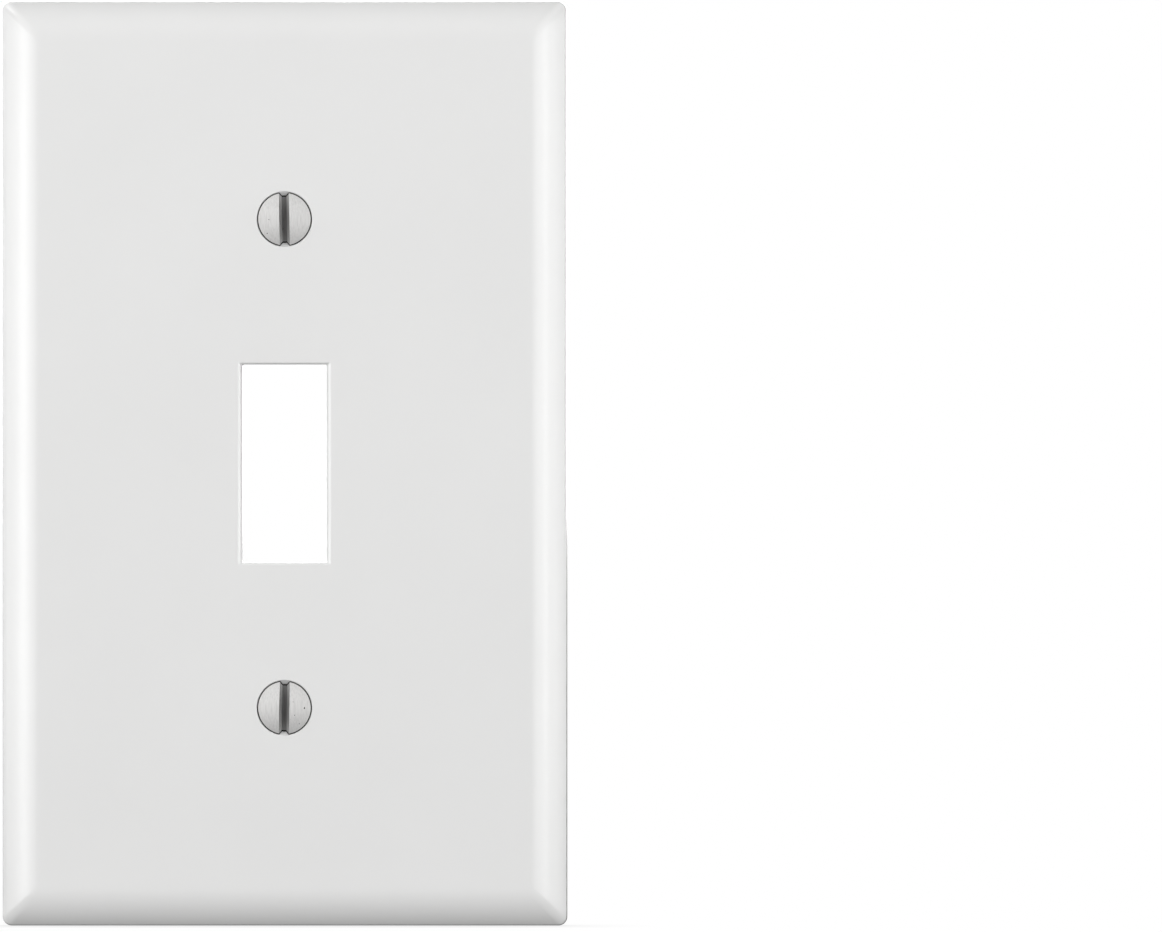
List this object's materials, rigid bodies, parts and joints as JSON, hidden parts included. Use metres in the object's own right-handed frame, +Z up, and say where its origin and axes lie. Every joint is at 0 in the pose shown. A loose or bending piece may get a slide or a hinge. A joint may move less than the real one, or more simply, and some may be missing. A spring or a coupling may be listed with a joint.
{
  "type": "wall plate cover",
  "caption": "Toggle switch wall plate with rounded border, central rectangular opening, hollow back and slotted oval-head mounting screws.",
  "frame": {"origin": "on the wall plane, at the middle of the screw pattern and of the toggle opening", "axes": "+Z up the plate, X across it, -Y out of the front face, +Y into the wall"},
  "size_m": [0.0698, 0.0136, 0.1142],
  "materials": {
    "white_plastic": "smooth white moulded plastic with a soft gloss",
    "screw_metal": "satin nickel-plated steel with fine turning marks"
  },
  "bodies": {
    "plate": {"wall_plate": "white_plastic"},
    "upper_screw": {"upper_screw": "screw_metal"},
    "lower_screw": {"lower_screw": "screw_metal"}
  },
  "joints": [
    {"name": "upper_screw_out", "type": "slide", "parent": "plate", "child": "upper_screw", "axis": [0, -1, 0], "range_m": [0, 0.016]},
    {"name": "lower_screw_out", "type": "slide", "parent": "plate", "child": "lower_screw", "axis": [0, -1, 0], "range_m": [0, 0.016]}
  ]
}
